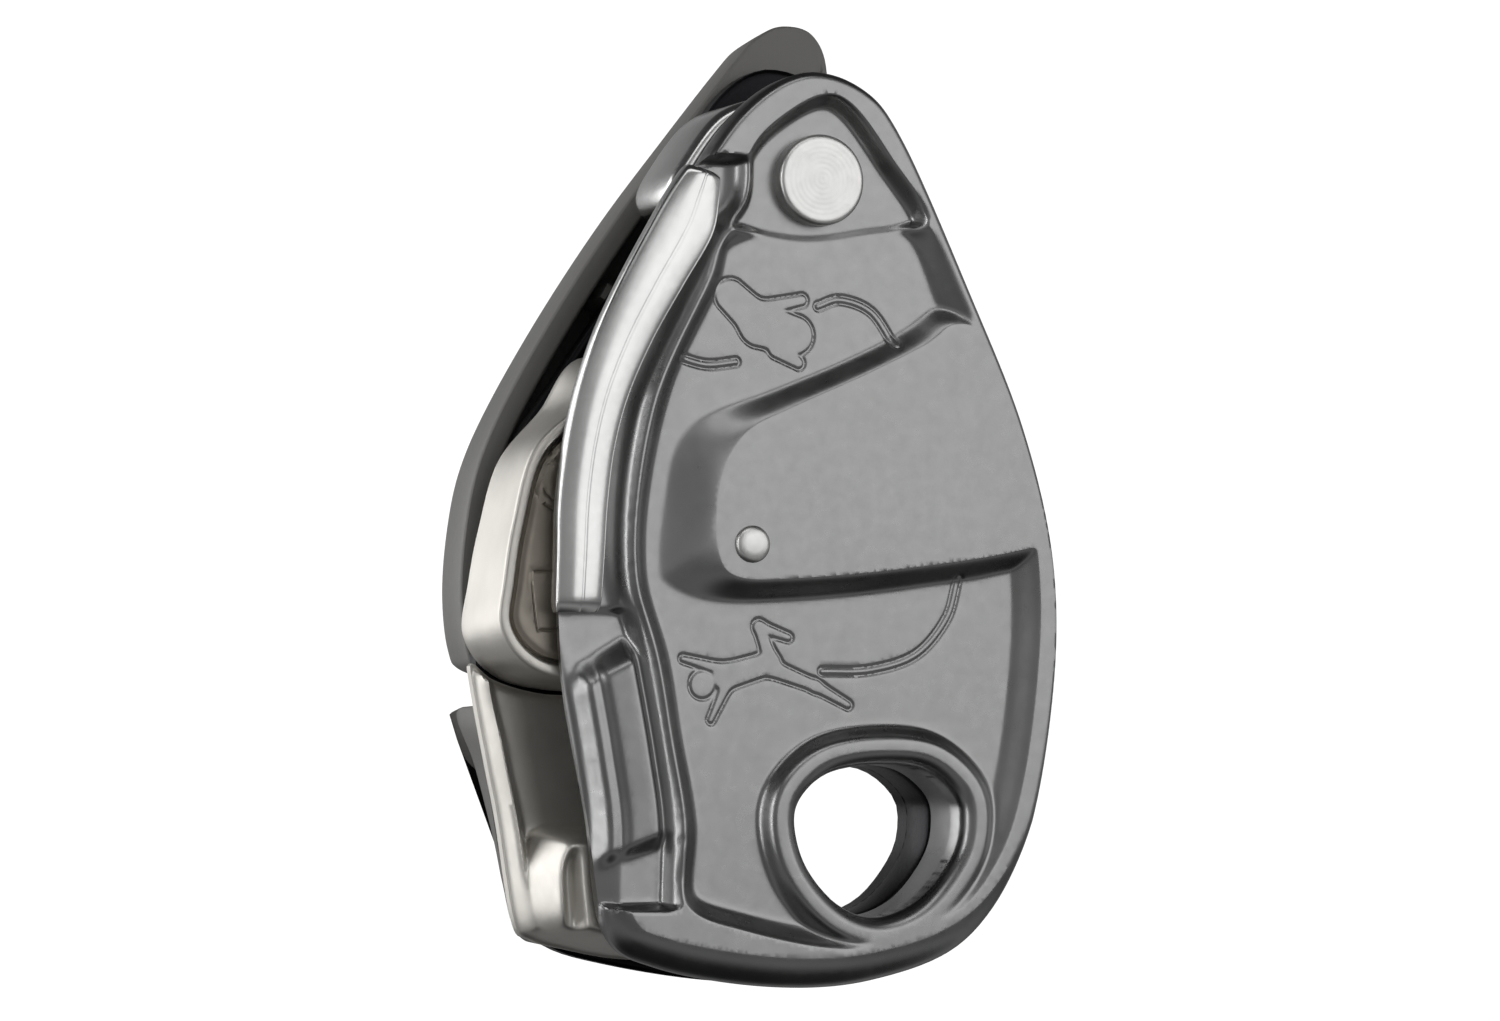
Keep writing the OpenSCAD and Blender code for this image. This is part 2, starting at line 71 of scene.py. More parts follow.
def opened(points, spans=10):
    """A smooth open curve through the points."""
    p = np.array(points, float)
    p = np.vstack([2 * p[0] - p[1], p, 2 * p[-1] - p[-2]])
    t = (np.arange(spans) / spans)[None, :, None]
    a, b, d, e = (p[i : len(p) - 3 + i, None, :] for i in range(4))
    curve = b + ((d - a) * t + (2 * a - 5 * b + 4 * d - e) * t**2 + (3 * b - a - 3 * d + e) * t**3) / 2
    return np.vstack([curve.reshape(-1, p.shape[-1]), p[-2]])


def reach(p, line, loop=True):
    """Distance from each point to a line; inside a loop it is positive, outside negative."""
    x, z = p[:, 0], p[:, 1]
    best = np.full(len(p), 1e9)
    inside = np.zeros(len(p), bool)
    ends = np.roll(line, -1, 0) if loop else line[1:]
    for (ax, az), (bx, bz) in zip(line, ends):
        dx, dz = bx - ax, bz - az
        length = dx * dx + dz * dz
        if length < 1e-12:
            continue
        t = np.clip(((x - ax) * dx + (z - az) * dz) / length, 0, 1)
        best = np.minimum(best, (x - ax - t * dx) ** 2 + (z - az - t * dz) ** 2)
        if loop and az != bz:
            crosses = (az > z) != (bz > z)
            inside ^= crosses & (x < ax + (z - az) * dx / dz)
    best = np.sqrt(best)
    return np.where(inside, best, -best) if loop else best


def ramp(d, width):
    """0 up to d = 0, then an S-shaped rise to 1 at d = width."""
    t = np.clip(d / width, 0, 1)
    return t * t * (3 - 2 * t)


def resample(line, step):
    """The loop again, with even steps along it."""
    ring = np.vstack([line, line[:1]])
    run = np.concatenate([[0], np.cumsum(np.linalg.norm(np.diff(ring, axis=0), axis=1))])
    s = np.linspace(0, run[-1], max(8, int(run[-1] / step)) + 1)[:-1]
    return np.stack([np.interp(s, run, ring[:, 0]), np.interp(s, run, ring[:, 1])], 1)


def moved_in(line, d):
    """The loop moved inwards by d, which is one number or a column with one per point.
    The loop has to run clockwise."""
    v = np.roll(line, -1, 0) - np.roll(line, 1, 0)
    return line + d * np.stack([v[:, 1], -v[:, 0]], 1) / np.linalg.norm(v, axis=1)[:, None]


class Relief:
    """Heights painted on a fine grid, then softened, as a forging or casting is by its die."""

    def __init__(self, line, cell=0.12, margin=2.0):
        self.low = line.min(0) - margin
        self.cell = cell
        self.shape = tuple(np.ceil((line.max(0) + margin - self.low) / cell).astype(int) + 1)
        i, j = np.meshgrid(np.arange(self.shape[0]), np.arange(self.shape[1]), indexing="ij")
        self.points = np.stack([i.ravel(), j.ravel()], 1) * cell + self.low
        self.x, self.z = self.points[:, 0], self.points[:, 1]

    def soften(self, y, radius):
        size = int(3 * radius / self.cell) + 1
        k = np.exp(-0.5 * (np.arange(-size, size + 1) * self.cell / radius) ** 2)
        k /= k.sum()
        g = np.pad(y.reshape(self.shape), size, mode="edge")
        g = np.apply_along_axis(lambda r: np.convolve(r, k, "valid"), 0, g)
        g = np.apply_along_axis(lambda r: np.convolve(r, k, "valid"), 1, g)
        return g.ravel()

    def bends(self, y, least=0.3):
        """Grid points where the surface bends more than the given curvature."""
        g = y.reshape(self.shape)
        c = np.zeros(self.shape)
        c[1:-1, 1:-1] = (abs(g[2:, 1:-1] + g[:-2, 1:-1] - 2 * g[1:-1, 1:-1])
                         + abs(g[1:-1, 2:] + g[1:-1, :-2] - 2 * g[1:-1, 1:-1])
                         + abs(g[2:, 2:] + g[:-2, :-2] - g[2:, :-2] - g[:-2, 2:]) / 2) / self.cell**2
        i, j = np.indices(self.shape)
        keep = (c > 6 * least) | ((c > least) & ((i + j) % 2 == 0) & ((c > 3 * least) | (i % 2 == 0)))
        return self.points[keep.ravel()]

    def at(self, y, p):
        q = (p - self.low) / self.cell
        i = np.clip(np.floor(q).astype(int), 0, np.array(self.shape) - 2)
        f = q - i
        g = y.reshape(self.shape)
        a, b = f[:, 0], f[:, 1]
        i, j = i[:, 0], i[:, 1]
        return ((1 - a) * (1 - b) * g[i, j] + a * (1 - b) * g[i + 1, j]
                + (1 - a) * b * g[i, j + 1] + a * b * g[i + 1, j + 1])


def pressed(name, loops, front, back, step=0.5, detail=(), roll=(0.06, 0.18, 0.35, 0.6, 0.95, 1.4)):
    """A closed plate between two height functions. loops[0] is its outline and the others are holes.
    Its mesh is closer where detail says that the surface bends."""
    rims = [resample(loop, step * 0.8) for loop in loops]
    rings = []
    for k, rim in enumerate(rims):
        for d in roll:
            rings.append(moved_in(rim, d if k == 0 else -d))
    low, high = rims[0].min(0), rims[0].max(0)
    i, j = np.meshgrid(np.arange(int((high[0] - low[0]) / step) + 2),
                       np.arange(int((high[1] - low[1]) / (step * 0.87)) + 2), indexing="ij")
    field = np.stack([(i + 0.5 * (j % 2)).ravel() * step, j.ravel() * step * 0.87], 1) + low
    extra = np.vstack(rings)
    depth = lambda p: np.minimum.reduce([reach(p, rims[0])] + [-reach(p, r) for r in rims[1:]])
    field = field[depth(field) > roll[-1] + 0.3 * step]
    extra = extra[depth(extra) > 0.5 * roll[0]]
    if len(detail):
        fine = detail[depth(detail) > roll[-1] + 0.1]
        taken = {tuple(c) for c in np.floor(fine / 0.35).astype(int)}
        cells = np.floor(field / 0.35).astype(int)
        field = np.vstack([field[[tuple(c) not in taken for c in cells]], fine])
    flat = np.vstack(rims + [extra, field])
    edges, first = [], 0
    for rim in rims:
        n = len(rim)
        edges += [(first + k, first + (k + 1) % n) for k in range(n)]
        first += n
    verts, _, faces, _, _, _ = delaunay_2d_cdt([Vector(p) for p in flat], edges, [], 1, 1e-5)
    p = np.array([(v.x, v.y) for v in verts])
    n = len(p)
    tri = np.array([tuple(f) for f in faces])
    tri = tri[depth(p[tri].mean(1)) > 0].tolist()
    y_front, y_back = front(p), back(p)
    points = np.vstack([np.stack([p[:, 0], y_front, p[:, 1]], 1), np.stack([p[:, 0], y_back, p[:, 1]], 1)])
    count = {}
    for f in tri:
        for k in range(len(f)):
            a, b = f[k], f[(k + 1) % len(f)]
            count[(a, b)] = count.get((a, b), 0) + 1
    sides = [(b, a, a + n, b + n) for a, b in count if (b, a) not in count]
    mesh = bpy.data.meshes.new(name)
    mesh.from_pydata((points * MM).tolist(), [], tri + [[v + n for v in reversed(f)] for f in tri] + sides)
    return finished(name, mesh)


def skin(name, rings, ys, round_trip=False):
    """A closed skin through loops at the depths ys, capped at both ends, or joined end to end."""
    n, m = len(rings[0]), len(rings)
    ys = [np.full(n, v, float) if np.isscalar(v) else v for v in ys]
    points = np.vstack([np.stack([ring[:, 0], y, ring[:, 1]], 1) for ring, y in zip(rings, ys)])
    faces = [(k * n + i, (k + 1) % m * n + i, (k + 1) % m * n + (i + 1) % n, k * n + (i + 1) % n)
             for k in range(m if round_trip else m - 1) for i in range(n)]
    if not round_trip:
        faces += [list(range(n)), list(range((m - 1) * n, m * n))]
    mesh = bpy.data.meshes.new(name)
    mesh.from_pydata((points * MM).tolist(), [], faces)
    return finished(name, mesh)


def turned(name, centre, profile, sides=96):
    """A lathe-turned shape: profile is a closed list of (radius, y) round the axis through centre."""
    a = np.linspace(0, 2 * np.pi, sides + 1)[:-1]
    rings = [np.stack([centre[0] + rad * np.cos(a), centre[1] + rad * np.sin(a)], 1) for rad, _ in profile]
    return skin(name, rings, [depth for _, depth in profile])


def joined(name, *pieces):
    """One object of several closed shapes."""
    with bpy.context.temp_override(active_object=pieces[0], selected_editable_objects=list(pieces)):
        bpy.ops.object.join()
    pieces[0].name = name
    return pieces[0]


def carved(piece, *cutters):
    """The piece with the cutters' shapes taken out of it."""
    for cutter in cutters:
        change = piece.modifiers.new("cut", "BOOLEAN")
        change.operation = "DIFFERENCE"
        change.solver = "EXACT"
        change.object = cutter
    shape = bpy.data.meshes.new_from_object(piece.evaluated_get(bpy.context.evaluated_depsgraph_get()))
    piece.modifiers.clear()
    piece.data = shape
    shape.shade_smooth()
    shape.set_sharp_from_angle(angle=math.radians(38))
    for cutter in cutters:
        bpy.data.objects.remove(cutter)
    return piece


def bore(centre, radius, y0, y1):
    return turned("bore", centre, [(radius, y0), (radius, y1)], sides=64)


def coat(piece, surface):
    piece.data.materials.clear()
    piece.data.materials.append(surface)


def placed(piece, surface, body, slot, *nodes):
    """Gives a piece its finish and its body, and hides the CAD nodes that it stands for."""
    coat(piece, surface)
    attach(piece, body)
    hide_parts(*nodes)


def finished(name, mesh, angle=38):
    """An object of the mesh with outward faces, smooth but for edges sharper than the angle."""
    work = bmesh.new()
    work.from_mesh(mesh)
    bmesh.ops.recalc_face_normals(work, faces=work.faces)
    work.to_mesh(mesh)
    work.free()
    mesh.shade_smooth()
    mesh.set_sharp_from_angle(angle=math.radians(angle))
    piece = bpy.data.objects.new(name, mesh)
    bpy.context.scene.collection.objects.link(piece)
    return piece


plate_edge = closed([(-9, 82.7), (-2, 81.4), (3, 75.8), (10.8, 59.9), (17.4, 44.8), (21, 30), (20.8, 15),
                     (17.5, -0.8), (11, -10.8), (0, -15), (-12, -15.6), (-25, -13.4), (-31, -9.5),
                     (-33, 2.8), (-35.4, 15), (-36.2, 24), (-35.9, 36), (-33.3, 47.5), (-28.8, 58),
                     (-22.3, 69.5), (-16, 78.3)])
eye = closed([(-9.6, 1.7), (-8.8, 4.7), (-5.5, 7.3), (0, 8.2), (5.5, 7.7), (9.2, 4.9), (9.9, 1.7),
              (8.8, -2), (5, -6.4), (0, -8.2), (-4.5, -6.8), (-8.2, -2.8)])
panels = closed([(6, 67), (10.6, 59), (14.6, 50), (17.7, 40), (19.4, 30), (19.4, 20), (17.6, 7), (14.5, -2),
                 (8.5, -8.5), (-3, -11.8), (-16, -9.8), (-23, -6.6), (-23.1, 2), (-24.8, 11), (-26.2, 19),
                 (-28.8, 28), (-28.4, 38), (-25.6, 49.5), (-20.6, 59.6), (-18.2, 65.5), (-9, 68.4),
                 (-1, 69)])
rivet_pocket = closed([(-18, 66.5), (-16, 72.6), (-13.2, 76.6), (-7.4, 80.3), (-3.4, 79.6), (1.3, 74),
                       (5.8, 66.9), (-1.8, 64.7), (-8.7, 63.8), (-15.6, 64.8)])
plateau = closed([(8.9, 55.9), (12.6, 54), (18, 42), (20, 34), (16.4, 31.6), (1.6, 29.3), (-10.4, 28.2),
                  (-16.6, 28.3), (-18.5, 30.9), (-18.3, 38), (-15.6, 43.4), (-10.4, 46.3), (-2.3, 49.9),
                  (5.6, 53.7)])
plateau_foot = closed([(7, 58.4), (12, 58.5), (22, 46), (24, 32), (14.7, 28.7), (5.5, 27.2), (-3.6, 26),
                       (-12.5, 25.3), (-21.5, 25.1), (-26.2, 26.9), (-26.9, 30.5), (-26.1, 36.2),
                       (-24.8, 42.5), (-21.4, 46.1), (-14, 48.3), (-5.3, 51.6), (2, 55.1)])
ridge = opened([(-14.8, 74), (-15.2, 69), (-17.4, 65.5), (-20.6, 59.7), (-22.9, 55.2), (-25.3, 50.4),
                (-27, 46.4), (-28.3, 40), (-28.9, 33), (-28.6, 27), (-27, 22), (-25.6, 15.5), (-24.4, 9),
                (-23.4, 2), (-23.5, -5.5)])

# The panels and the rivet's pocket go down from the rim. The plateau and the eye's collar stand up in them.
paint = Relief(plate_edge)
x, z = paint.x, paint.z
y = FRONT + (PANEL - FRONT) * ramp(reach(paint.points, panels), 2.4 + 1.2 * ramp(x - 2, 6))
y = np.maximum(y, FRONT + (RIVET_FLOOR - FRONT) * ramp(reach(paint.points, rivet_pocket), 1.6))
above = np.clip(-reach(paint.points, plateau), 0, None)
below = np.clip(reach(paint.points, plateau_foot), 0, None)
fall = above / np.maximum(above + below, 1e-6)
outside_foot = below == 0
y = np.minimum(y, FRONT + PLATEAU_RISE * (0.5 * fall + 0.5 * ramp(fall, 1)) + 9 * outside_foot)
from_eye = -reach(paint.points, eye)
y = np.minimum(y, FRONT + 0.1 + (PANEL - FRONT + 0.2) * ramp(from_eye - 2.7, 1.9))

# Left of the ridge, the border steps back to carry the wear strip above and a grooved ledge below it.
ridge_x = np.interp(-z, -ridge[:, 1], ridge[:, 0])
beside = ridge_x - x
stations = [-3, -1.6, -0.6, 0.4, 1.2, 2.0, 2.8, 9]
border = np.interp(beside, stations, [PANEL, PANEL - 0.5, -8.9, -8.9, -7.6, -7.1, -6.9, -6.9])
strip = np.interp(beside, [-3, -1.6, -0.6, 0.4, 1.0, 1.6, 2.2, 5.6, 6.2, 6.9, 7.6, 9.4],
                  [PANEL, PANEL - 0.5, -8.9, -8.9, -7.6, -7.7, -9.25, -8.8, -8.15, -8.5, -8.4, -6.6])
border = np.where(z < 24.4, strip, border)
top_of_strip = ramp(z - 17.8 + 0.5 * (beside - 4), 3.4) * (z < 24.4) * (beside > 1.3) * (beside < 9)
border += top_of_strip * np.clip(-6.6 - border, 0, None)
foot = ramp(0.6 - z - 0.35 * (beside - 3), 1.8) * (beside > 1.1)
border += foot * (np.interp(beside, [1, 2, 6, 9.6], [-7.1, -7.4, -8.0, -6.9]) - border)
y = np.where((beside > -0.2) & (z > -7) & (z < 73), border, y)
y = paint.soften(y, 0.3)


def limb(a, b, ra, rb):
    """Distance inside a tapered limb from a to b."""
    a, b = np.array(a), np.array(b)
    t = np.clip(((paint.points - a) @ (b - a)) / ((b - a) @ (b - a)), 0, 1)
    return ra + (rb - ra) * t - np.linalg.norm(paint.points - a - t[:, None] * (b - a), axis=1)


def merged(parts, k=0.35):
    """Limbs blended where they meet."""
    return k * np.log(np.sum([np.exp(np.clip(part / k, -30, 30)) for part in parts], axis=0))


# Pressed marks show how the rope goes in: a braking hand, a climber and the strands between them.
brake_hand = merged([
    limb((-16.9, 58.4), (-14.6, 56.4), 1.9, 2.1), limb((-13.6, 55.4), (-9.4, 54.4), 2.5, 2.2),
    limb((-14, 57), (-8.6, 58.2), 0.9, 0.7), limb((-11.4, 52.9), (-9, 51.4), 1.2, 0.7)], 0.2)
climber = merged([
    limb((-20.2, 16.6), (-20.2, 16.7), 1.5, 1.5), limb((-17.6, 17.5), (-12.4, 19), 1.5, 1.3),
    limb((-17.4, 18.2), (-22.4, 19.4), 0.75, 0.45), limb((-17.4, 16.6), (-19.2, 12.9), 0.7, 0.45),
    limb((-12.2, 19.2), (-13.6, 22.9), 0.95, 0.7), limb((-13.6, 22.9), (-10.2, 21.8), 0.7, 0.5),
    limb((-12, 18.4), (-7, 16.6), 1.0, 0.7), limb((-7, 16.6), (-3.2, 14.6), 0.7, 0.5)], 0.2)
ropes = [opened([(-22.6, 51.5), (-19.6, 50.9), (-16.3, 51.3)]),
         opened([(-6.7, 57.6), (-4, 58.4), (-0.4, 57.2), (2.3, 53.7)]),
         opened([(-6.2, 18.2), (-0.5, 18.4), (4.9, 20.1), (8.5, 24), (9.9, 28.4)])]
marks = np.minimum(abs(brake_hand), abs(climber))
for rope in ropes:
    marks = np.minimum(marks, abs(0.42 - reach(paint.points, rope, loop=False)))
y += MARK_DEPTH * np.exp(-((marks / MARK_WIDTH) ** 2))

# The rim rolls over all round, most at the bottom, and the collar rolls into the eye.
bevel = np.interp(z, [-16, -9, 2, 20], [4.6, 4.2, 1.6, 1.1])
bevel = bevel * np.interp(x, [-40, -20, 8, 22], [0.9, 1, 0.95, 0.6])
drop = np.interp(z, [-16, -8, 2, 20], [3.2, 2.6, 1.2, 1.0])
edge_d = reach(paint.points, plate_edge)
rounded = FRONT + drop * (1 - np.sqrt(np.clip(1 - (1 - np.clip(edge_d / bevel, 0, 1)) ** 2, 0, 1)))
y = np.maximum(y, paint.soften(rounded, 0.12))
into_eye = np.clip(1 - from_eye / 1.7, 0, 1)
y = np.maximum(y, FRONT + 0.1 + 1.9 * (1 - np.sqrt(np.clip(1 - into_eye**2, 0, 1))))
plate_relief = y


def plate_front(p):
    return paint.at(plate_relief, p)


def plate_back(p):
    edge = reach(p, plate_edge)
    return INNER - 0.25 * (1 - ramp(edge, 0.4))


def circle(at, radius):
    turns = np.linspace(0, 2 * np.pi, 73)[:-1]
    return np.stack([at[0] + radius * np.sin(turns), at[1] + radius * np.cos(turns)], 1)


plate = pressed("front_plate_forging", [plate_edge, eye, circle(PIVOT, 3.05), circle(AXLE, 2.0)],
                plate_front, plate_back, detail=paint.bends(plate_relief, 0.2))


def linear(hexa):
    """sRGB hex to the linear colour that nodes take."""
    c = [int(hexa[i : i + 2], 16) / 255 for i in (1, 3, 5)]
    return [v / 12.92 if v <= 0.04045 else ((v + 0.055) / 1.055) ** 2.4 for v in c] + [1.0]


def add(tree, kind, links=(), **settings):
    """A node with its settings, and links given as (input, socket)."""
    made = tree.nodes.new(kind)
    for key, value in settings.items():
        if key.startswith("in_"):
            made.inputs[key[3:].replace("_", " ")].default_value = value
        else:
            setattr(made, key, value)
    for name, socket in links:
        tree.links.new(socket, made.inputs[name])
    return made


def material(name, colour, metallic, roughness, grain=0.05, bump=0.02, blotch=0.04, rough_by=0.06):
    """A surface with a fine grain of the given size in millimetres and a slow change of tone."""
    made = bpy.data.materials.new(name)
    made.use_nodes = True
    tree = made.node_tree
    shader = tree.nodes["Principled BSDF"]
    shader.inputs["Metallic"].default_value = metallic
    place = add(tree, "ShaderNodeTexCoord")
    fine = add(tree, "ShaderNodeTexNoise", [("Vector", place.outputs["Object"])],
               in_Scale=1000 / grain / 8, in_Detail=3.0, in_Roughness=0.6)
    slow = add(tree, "ShaderNodeTexNoise", [("Vector", place.outputs["Object"])], in_Scale=90.0,
               in_Detail=4.0)
    mixed = add(tree, "ShaderNodeMath", [(0, slow.outputs["Fac"]), (1, fine.outputs["Fac"])],
                operation="ADD")
    base = np.array(linear(colour))
    tone = add(tree, "ShaderNodeValToRGB", [("Fac", slow.outputs["Fac"])])
    tone.color_ramp.elements[0].color = list(base[:3] * (1 - blotch * 2)) + [1]
    tone.color_ramp.elements[1].color = list(np.minimum(base[:3] * (1 + blotch * 2), 1)) + [1]
    tone.color_ramp.elements[0].position = 0.3
    tone.color_ramp.elements[1].position = 0.7
    tree.links.new(tone.outputs["Color"], shader.inputs["Base Color"])
    rough = add(tree, "ShaderNodeMapRange", [("Value", mixed.outputs[0])])
    rough.inputs["From Min"].default_value = 0.6
    rough.inputs["From Max"].default_value = 1.4
    rough.inputs["To Min"].default_value = max(0.05, roughness - rough_by)
    rough.inputs["To Max"].default_value = roughness + rough_by
    tree.links.new(rough.outputs["Result"], shader.inputs["Roughness"])
    relief = add(tree, "ShaderNodeBump", [("Height", fine.outputs["Fac"])], in_Strength=1.0,
                 in_Distance=bump * MM)
    tree.links.new(relief.outputs["Normal"], shader.inputs["Normal"])
    return made


# Bead-blasted and anodised aluminium: an even grey sheen that darkens on every slope.
blasted_aluminium = material("blasted_grey_anodised_aluminium", "#979797", 1.0, 0.3, grain=0.2, bump=0.004)
collar_levels = ((0, FRONT + 1.9), (0, -0.7), (0.15, -0.3), (0.6, -0.12), (1.3, -0.12), (1.8, -0.4),
                 (2.1, -1), (3.2, INNER))
inner_wall = skin("eye_collar_front", [moved_in(eye, -d) for d, _ in collar_levels],
                  [depth for _, depth in collar_levels], round_trip=True)
placed(joined("front_plate_forging", plate, inner_wall), blasted_aluminium, "front_plate", "grey_alloy",
       "moving_side_plate")

# Wear strip on the edge where the braking rope bends. Drawn stainless steel, polished by the rope: a
# rolled left face, a fine valley along its middle and a flatter right face.
left_run = opened([(-37.4, 24.2), (-37.2, 30), (-37, 36), (-36.2, 42), (-34.9, 47.8), (-32.8, 53.8),
                   (-30.0, 59.6), (-26.4, 66), (-24.1, 69.8), (-22.3, 72.3)])
right_run = opened([(-32.3, 24.2), (-31.9, 30), (-31.5, 36), (-30.7, 41.8), (-29.1, 47.4), (-26.3, 53.4),
                    (-22.8, 59.3), (-19.6, 64.6), (-18.8, 68.4), (-18.6, 71.2)])
section = opened([(0.16, -5.8), (0.12, -7.1), (0.0, -7.4), (0.0, -8.8), (0.04, -9.15), (0.12, -9.34),
                  (0.28, -9.56), (0.4, -9.66), (0.49, -9.66), (0.54, -9.6), (0.6, -9.64), (0.7, -9.6),
                  (0.85, -9.42), (0.96, -9.2), (1.0, -8.95), (1.0, -7.4), (0.9, -7.1), (0.86, -5.8)], 5)
across, depth_of = section[:, 0], section[:, 1]
ends = np.minimum(np.arange(len(left_run)), np.arange(len(left_run))[::-1])
strip_rings, strip_ys = [], []
for a, b, e in zip(left_run, right_run, ends):
    shrink = 0.05 * np.exp(-e / 0.8)
    t = shrink + (1 - 2 * shrink) * across
    strip_rings.append(a + t[:, None] * (b - a))
    strip_ys.append(depth_of + 0.5 * np.exp(-e / 0.9) * (depth_of < -8))
# Polished stainless steel: nearly white, with the dark room drawn out along the bends.
polished = material("polished_stainless_steel", "#d6d6d5", 1.0, 0.22, grain=0.12, bump=0.002, rough_by=0.05)
placed(skin("wear_strip", strip_rings, strip_ys), polished, "front_plate", "polished_steel", "wear_lip")

# Pivot rivet and the stud at the middle of the plateau. Turned stainless steel, left bright and satin by
# the lathe tool, with its faint circles, a small chamfer and a shank riveted over behind the rear plate.
turned_steel = material("turned_satin_steel", "#dcdcda", 1.0, 0.36, grain=0.15, bump=0.002)
head = [(0.05 + 0.1 * k, -9.3 + 0.006 * math.cos(0.1 * k * 2 * math.pi / 0.55)) for k in range(43)]
head += [(4.5, -9.3), (4.75, -9.2), (4.9, -9.02), (4.95, -8.8), (4.95, -7.1), (3, -7.06), (3, 8.2),
         (4.5, 8.22), (4.5, 8.3), (4.1, 8.56), (0.05, 8.58)]
placed(turned("pivot_rivet", PIVOT, head), turned_steel, "frame", "grey_steel", "plate_pivot_rivet")
stud = [(0.02, -10.06), (0.9, -10.04), (1.5, -9.96), (1.8, -9.84), (1.95, -9.66), (2, -9.5), (2, -5.72),
        (0.02, -5.72)]
placed(turned("cam_stud_head", AXLE, stud, 64), turned_steel, "front_plate", "grey_steel", "cam_stud")

# Spacer behind the pivot. Polished steel block with rounded faces that the rope never touches.
spacer = closed([(-12, 80.5), (-7.5, 81), (-3, 78), (0, 72), (-2, 66.6), (-8, 64.6), (-15, 66), (-21, 67.3),
                 (-22.8, 69.8), (-21, 73.5), (-17, 78.4)])
block = skin("spacer_block", [moved_in(spacer, d) for d in (1.2, 0.7, 0.3, 0.08, 0, 0, 0.1, 0.4)],
             [-5.1, -5.05, -4.8, -4.3, -3.6, 4.6, 5.3, 5.65])
placed(carved(block, bore(PIVOT, 3.02, -9, 9)), polished, "frame", "polished_steel", "pivot_spacer")

# Cam. Sand-blasted cast stainless steel: straight walls, a narrow rim round a blasted insert, and a round
# groove for the rope on its right side. The bronze bush and the axle go through it.
cam_rim = closed([(-33.2, 46.3), (-27, 50.6), (-16, 48.6), (-6, 43.2), (-1.4, 34), (-3.2, 24.4), (-12, 18),
                  (-23, 16.6), (-34.6, 17.2), (-39.6, 19), (-42.2, 22.8), (-41.8, 27.6), (-40.8, 33.6),
                  (-38.5, 41.4)])
cam_root = closed([(-34, 46.2), (-28.6, 52.4), (-16, 48.8), (-6, 43.4), (-1.2, 34), (-3, 24), (-12, 17.4),
                   (-23, 16), (-34.6, 16.4), (-39.8, 18.2), (-42.6, 22.2), (-42, 27.6), (-40.8, 33.6),
                   (-38.6, 40.8)])
cam_rings, cam_ys = [], []
for d, depth in ((1.6, -2.9), (1.3, -3.1), (1.25, -4.9), (1.15, -5.12), (1.0, -5.2), (0.35, -5.2),
                 (0.15, -5.14), (0.04, -5.0), (0, -4.8)):
    cam_rings.append(moved_in(cam_rim, d))
    cam_ys.append(depth)
for depth in np.linspace(-4.5, 5.4, 34):
    t = np.clip((depth + 4.5) / 9, 0, 1)
    ring = cam_rim + (cam_root - cam_rim) * t
    out = ring - np.array([-14, 33])
    far = np.linalg.norm(out, axis=1)
    hollow = 3.4 * math.sqrt(max(0, 1 - (depth / 4.7) ** 2)) * ramp(out[:, 0] + 8, 12)
    cam_rings.append(ring - out / far[:, None] * hollow[:, None])
    cam_ys.append(depth)
# Sand-blasted cast steel: pale, warm and dull, with a grain that can be seen.
cast_steel = material("sandblasted_cast_steel", "#d6d3cd", 0.8, 0.44, grain=0.16, bump=0.014, blotch=0.05)
cam = carved(skin("cam_casting", cam_rings, cam_ys), bore(AXLE, 5.2, -8, 8))
placed(cam, cast_steel, "cam", "cast_steel", "cam")

# Insert. A thin cover pressed into the cam's front, with a plain ring and a plain rectangle as marks.
insert_paint = Relief(cam_rim)
insert_edge = moved_in(cam_rim, 1.95)
from_mark = np.linalg.norm(insert_paint.points - (-35, 38.3), axis=1)
mark = np.minimum(abs(3.2 - from_mark), abs(2.2 - from_mark))
label = reach(insert_paint.points, closed([(-38.4, 28.2), (-37.9, 28.6), (-34.6, 28.4), (-34.1, 27.9),
                                           (-33.9, 23), (-34.4, 22.6), (-37.2, 22.4), (-37.8, 22.9)]))
mark = np.minimum(mark, abs(label))
insert_y = -4.55 + 0.2 * np.exp(-((mark / 0.13) ** 2))
insert_y = insert_y + 0.35 * (1 - ramp(reach(insert_paint.points, insert_edge), 0.5))
insert = pressed("cam_insert", [insert_edge], lambda q: insert_paint.at(insert_y, q),
                 lambda q: np.full(len(q), -2.85), detail=insert_paint.bends(insert_y, 0.6))
# Blasted metal under a thin taupe coat: darker and duller than the cam round it.
taupe = material("blasted_taupe_insert", "#a19a90", 0.85, 0.46, grain=0.16, bump=0.02, blotch=0.12)
placed(carved(insert, bore(AXLE, 5.2, -8, 8)), taupe, "cam", "taupe_insert", "cam_cover")

# Friction plate. Sand-blasted casting of the same steel, riveted to the rear plate: a raised border, a
# lower floor that the rope runs over and a foot that stands up to the front plate.
flange = closed([(-41.8, 19), (-39.2, 17.2), (-33.6, 15.8), (-24, 15.2), (-17, 10), (-14.6, 2), (-14, -6),
                 (-17, -12.4), (-24.3, -12.8), (-31.3, -11.6), (-35, -10.6), (-36.9, -8.6), (-38.8, 2.3),
                 (-40.2, 9), (-41.7, 16.6)])
flange_floor = closed([(-40.4, 19), (-32, 20), (-22, 19), (-11, 13), (-10, 2), (-11, -7), (-20, -8.8),
                       (-30.4, -8.8), (-35, -8), (-37.4, 2.6), (-39.1, 10)])
bridge = closed([(-36.8, -4), (-36.2, -0.4), (-34.8, 1.4), (-31, 1.6), (-24, 0.9), (-17.4, -2), (-15.2, -7),
                 (-18, -11.8), (-25, -12.3), (-31.4, -11.2), (-35.6, -9.4)])
groove = closed([(-34.8, -3.4), (-34.1, -1.2), (-33.1, -1.3), (-32.7, -5), (-32.2, -9.5), (-31.8, -13.5),
                 (-34.6, -13.5), (-34.6, -8.4)])
shoe = Relief(flange)
